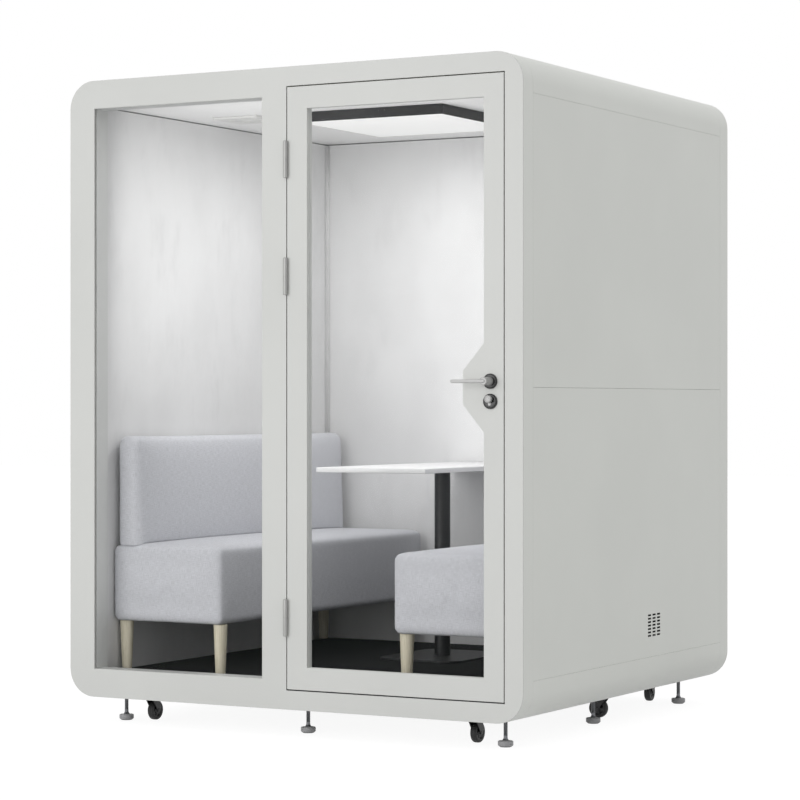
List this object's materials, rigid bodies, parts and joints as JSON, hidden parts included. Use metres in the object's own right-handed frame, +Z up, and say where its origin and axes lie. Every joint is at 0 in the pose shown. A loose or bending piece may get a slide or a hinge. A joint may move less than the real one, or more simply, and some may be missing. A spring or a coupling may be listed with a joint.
{
  "type": "vocal booth",
  "caption": "Free-standing glazed acoustic booth with a hinged door, window, facing upholstered benches, a pedestal table, ceiling lamp and fans, on casters and levelling feet.",
  "frame": {"origin": "on the floor under the middle of the bounding box", "axes": "+Z up, the door and window face -Y, +X to the right seen from the front"},
  "size_m": [1.816, 1.808, 2.295],
  "materials": {
    "front_paint": "satin",
    "side_paint": "satin",
    "black_steel": "satin",
    "core_board": "matte",
    "lining_paint": "satin",
    "wall_board": "matte",
    "satin_steel": "satin",
    "zinc_steel": "satin",
    "carpet": "matte",
    "glass": "gloss",
    "rubber": "matte",
    "black_rubber": "matte",
    "white_plastic": "matte",
    "grille_plastic": "matte",
    "black_plastic": "matte",
    "grey_fabric": "matte",
    "pale_wood": "satin",
    "table_white": "satin"
  },
  "bodies": {
    "cabin": {"base_frame": "black_steel", "base_shell": "side_paint", "roof_shell": "side_paint", "front_frame": "front_paint", "rear_frame": "side_paint", "side_panels_left": "side_paint", "side_panels_right": "side_paint", "back_panels": "side_paint", "panel_cores": "core_board", "front_liner": "lining_paint", "wall_liners": "wall_board", "ceiling_panel": "wall_board", "corner_profiles": "satin_steel", "carpet": "carpet", "window_glass": "glass", "window_gasket": "rubber", "frame_hardware": "satin_steel", "door_seal": "rubber", "lamp_housing": "black_steel", "lamp_diffuser": "white_plastic", "fan_frames": "grille_plastic", "seat_left": "grey_fabric", "seat_right": "grey_fabric", "backrest_left": "grey_fabric", "backrest_right": "grey_fabric", "bench_legs": "pale_wood", "table_top": "table_white", "table_stand": "black_steel"},
    "door": {"door_frame": "front_paint", "door_glass": "glass", "door_gasket": "rubber", "door_hardware": "satin_steel", "mortise_lock": "satin_steel", "door_rosettes": "black_steel"},
    "lever": {"door_lever": "satin_steel"},
    "latch": {"latch_bolt": "satin_steel"},
    "bolt": {"dead_bolt": "satin_steel"},
    "turn": {"thumb_turn": "satin_steel"},
    "rotor_left": {"fan_rotor_left": "black_plastic"},
    "rotor_right": {"fan_rotor_right": "black_plastic"},
    "caster_front_left": {"fork_front_left": "black_steel"},
    "roller_front_left": {"wheel_front_left": "black_rubber"},
    "caster_front_right": {"fork_front_right": "black_steel"},
    "roller_front_right": {"wheel_front_right": "black_rubber"},
    "caster_rear_left": {"fork_rear_left": "black_steel"},
    "roller_rear_left": {"wheel_rear_left": "black_rubber"},
    "caster_rear_right": {"fork_rear_right": "black_steel"},
    "roller_rear_right": {"wheel_rear_right": "black_rubber"},
    "caster_mid_left": {"fork_mid_left": "black_steel"},
    "roller_mid_left": {"wheel_mid_left": "black_rubber"},
    "caster_mid_right": {"fork_mid_right": "black_steel"},
    "roller_mid_right": {"wheel_mid_right": "black_rubber"},
    "leveller_front_left": {"foot_front_left": "zinc_steel"},
    "leveller_front_mid": {"foot_front_mid": "zinc_steel"},
    "leveller_front_right": {"foot_front_right": "zinc_steel"},
    "leveller_mid_left": {"foot_mid_left": "zinc_steel"},
    "leveller_mid_right": {"foot_mid_right": "zinc_steel"},
    "leveller_rear_left": {"foot_rear_left": "zinc_steel"},
    "leveller_rear_mid": {"foot_rear_mid": "zinc_steel"},
    "leveller_rear_right": {"foot_rear_right": "zinc_steel"}
  },
  "joints": [
    {"name": "door_hinge", "type": "hinge", "parent": "cabin", "child": "door", "pos_m": [0.0045, -0.855, 1.195], "axis": [0, 0, -1], "range_deg": [0, 110]},
    {"name": "lever_turn", "type": "hinge", "parent": "door", "child": "lever", "pos_m": [0.789, -0.846, 1.215], "axis": [0, -1, 0], "range_deg": [0, 40], "stiffness_Nm_per_rad": 3, "springref_deg": -22.92},
    {"name": "latch_slide", "type": "slide", "parent": "door", "child": "latch", "axis": [-1, 0, 0], "range_m": [0, 0.003]},
    {"name": "turn_knob", "type": "hinge", "parent": "door", "child": "turn", "pos_m": [0.789, -0.846, 1.1565], "axis": [0, 1, 0], "range_deg": [0, 90]},
    {"name": "bolt_slide", "type": "slide", "parent": "door", "child": "bolt", "axis": [1, 0, 0], "range_m": [0, 0.014]},
    {"name": "fan_left_spin", "type": "hinge", "parent": "cabin", "child": "rotor_left", "pos_m": [-0.572, -0.186, 2.225], "axis": [0, 0, 1], "continuous": true},
    {"name": "fan_right_spin", "type": "hinge", "parent": "cabin", "child": "rotor_right", "pos_m": [0.572, -0.186, 2.225], "axis": [0, 0, 1], "continuous": true},
    {"name": "caster_front_left_swivel", "type": "hinge", "parent": "cabin", "child": "caster_front_left", "pos_m": [-0.654, -0.701, 0.095], "axis": [0, 0, 1], "continuous": true},
    {"name": "caster_front_left_roll", "type": "hinge", "parent": "caster_front_left", "child": "roller_front_left", "pos_m": [-0.654, -0.679, 0.04], "axis": [-1, 0, 0], "continuous": true},
    {"name": "caster_front_right_swivel", "type": "hinge", "parent": "cabin", "child": "caster_front_right", "pos_m": [0.654, -0.701, 0.095], "axis": [0, 0, 1], "continuous": true},
    {"name": "caster_front_right_roll", "type": "hinge", "parent": "caster_front_right", "child": "roller_front_right", "pos_m": [0.654, -0.679, 0.04], "axis": [-1, 0, 0], "continuous": true},
    {"name": "caster_rear_left_swivel", "type": "hinge", "parent": "cabin", "child": "caster_rear_left", "pos_m": [-0.654, 0.759, 0.095], "axis": [0, 0, 1], "continuous": true},
    {"name": "caster_rear_left_roll", "type": "hinge", "parent": "caster_rear_left", "child": "roller_rear_left", "pos_m": [-0.654, 0.737, 0.04], "axis": [1, 0, 0], "continuous": true},
    {"name": "caster_rear_right_swivel", "type": "hinge", "parent": "cabin", "child": "caster_rear_right", "pos_m": [0.654, 0.759, 0.095], "axis": [0, 0, 1], "continuous": true},
    {"name": "caster_rear_right_roll", "type": "hinge", "parent": "caster_rear_right", "child": "roller_rear_right", "pos_m": [0.65592, 0.73708, 0.04], "axis": [0.9962, 0.0872, 0], "continuous": true},
    {"name": "caster_mid_left_swivel", "type": "hinge", "parent": "cabin", "child": "caster_mid_left", "pos_m": [-0.735, 0.154, 0.095], "axis": [0, 0, 1], "continuous": true},
    {"name": "caster_mid_left_roll", "type": "hinge", "parent": "caster_mid_left", "child": "roller_mid_left", "pos_m": [-0.713, 0.154, 0.04], "axis": [0, 1, 0], "continuous": true},
    {"name": "caster_mid_right_swivel", "type": "hinge", "parent": "cabin", "child": "caster_mid_right", "pos_m": [0.735, 0.154, 0.095], "axis": [0, 0, 1], "continuous": true},
    {"name": "caster_mid_right_roll", "type": "hinge", "parent": "caster_mid_right", "child": "roller_mid_right", "pos_m": [0.713, 0.154, 0.04], "axis": [0, -1, 0], "continuous": true},
    {"name": "foot_front_left_screw", "type": "hinge", "parent": "cabin", "child": "leveller_front_left", "pos_m": [-0.768, -0.696, 0.045], "axis": [0, 0, 1], "continuous": true},
    {"name": "foot_front_mid_screw", "type": "hinge", "parent": "cabin", "child": "leveller_front_mid", "pos_m": [0, -0.696, 0.045], "axis": [0, 0, 1], "continuous": true},
    {"name": "foot_front_right_screw", "type": "hinge", "parent": "cabin", "child": "leveller_front_right", "pos_m": [0.768, -0.696, 0.045], "axis": [0, 0, 1], "continuous": true},
    {"name": "foot_mid_left_screw", "type": "hinge", "parent": "cabin", "child": "leveller_mid_left", "pos_m": [-0.75, 0.029, 0.045], "axis": [0, 0, 1], "continuous": true},
    {"name": "foot_mid_right_screw", "type": "hinge", "parent": "cabin", "child": "leveller_mid_right", "pos_m": [0.75, 0.029, 0.045], "axis": [0, 0, 1], "continuous": true},
    {"name": "foot_rear_left_screw", "type": "hinge", "parent": "cabin", "child": "leveller_rear_left", "pos_m": [-0.768, 0.754, 0.045], "axis": [0, 0, 1], "continuous": true},
    {"name": "foot_rear_mid_screw", "type": "hinge", "parent": "cabin", "child": "leveller_rear_mid", "pos_m": [0, 0.754, 0.045], "axis": [0, 0, 1], "continuous": true},
    {"name": "foot_rear_right_screw", "type": "hinge", "parent": "cabin", "child": "leveller_rear_right", "pos_m": [0.768, 0.754, 0.045], "axis": [0, 0, 1], "continuous": true}
  ],
  "couplings": [
    {"joint": "latch_slide", "follows": "lever_turn", "m_per_rad": 0.0042},
    {"joint": "bolt_slide", "follows": "turn_knob", "m_per_rad": 0.0089}
  ]
}
